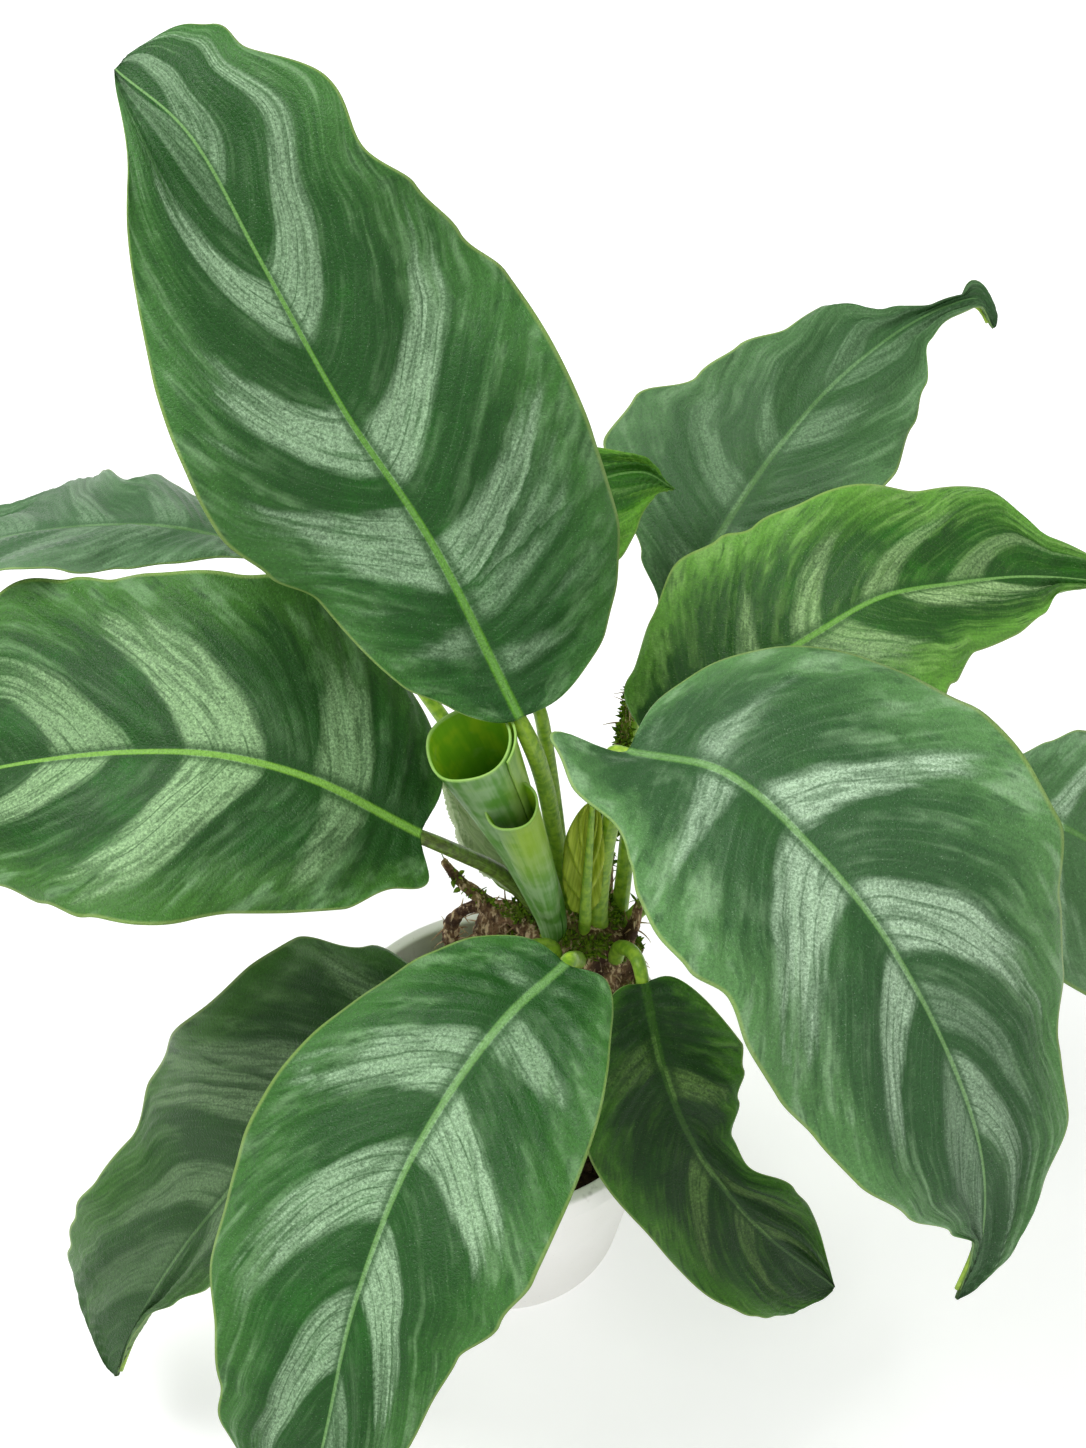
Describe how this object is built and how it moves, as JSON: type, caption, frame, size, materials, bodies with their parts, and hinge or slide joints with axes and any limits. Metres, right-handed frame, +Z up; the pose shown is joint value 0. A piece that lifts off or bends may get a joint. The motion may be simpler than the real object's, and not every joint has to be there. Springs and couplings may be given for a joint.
{
  "type": "potted calathea plant",
  "caption": "Potted calathea with broad wavy patterned leaves on short stalks round a low woody crown, standing on the pot's flat foot.",
  "frame": {"origin": "centre of the pot's underside", "axes": "+Z up; -Y is the front of the plant, the side that the picture looks down on; +X is to the right there"},
  "size_m": [0.3284, 0.289, 0.2942],
  "materials": {
    "pot": "matte",
    "soil": "matte",
    "rhizome": "matte",
    "leaf": "satin",
    "bract": "satin",
    "new_leaf": "satin"
  },
  "bodies": {
    "root": {"pot": "pot", "soil": "soil", "rhizome": "rhizome", "leaf_tall": "leaf", "leaf_front_right": "leaf", "leaf_front": "leaf", "leaf_left": "leaf", "leaf_back_left": "leaf", "leaf_back_right": "leaf", "leaf_back": "leaf", "leaf_right_back": "leaf", "leaf_right": "leaf", "leaf_front_left": "leaf", "leaf_low": "leaf", "bract_back": "bract", "bract_front": "bract", "leaf_rolled": "new_leaf"}
  },
  "joints": []
}
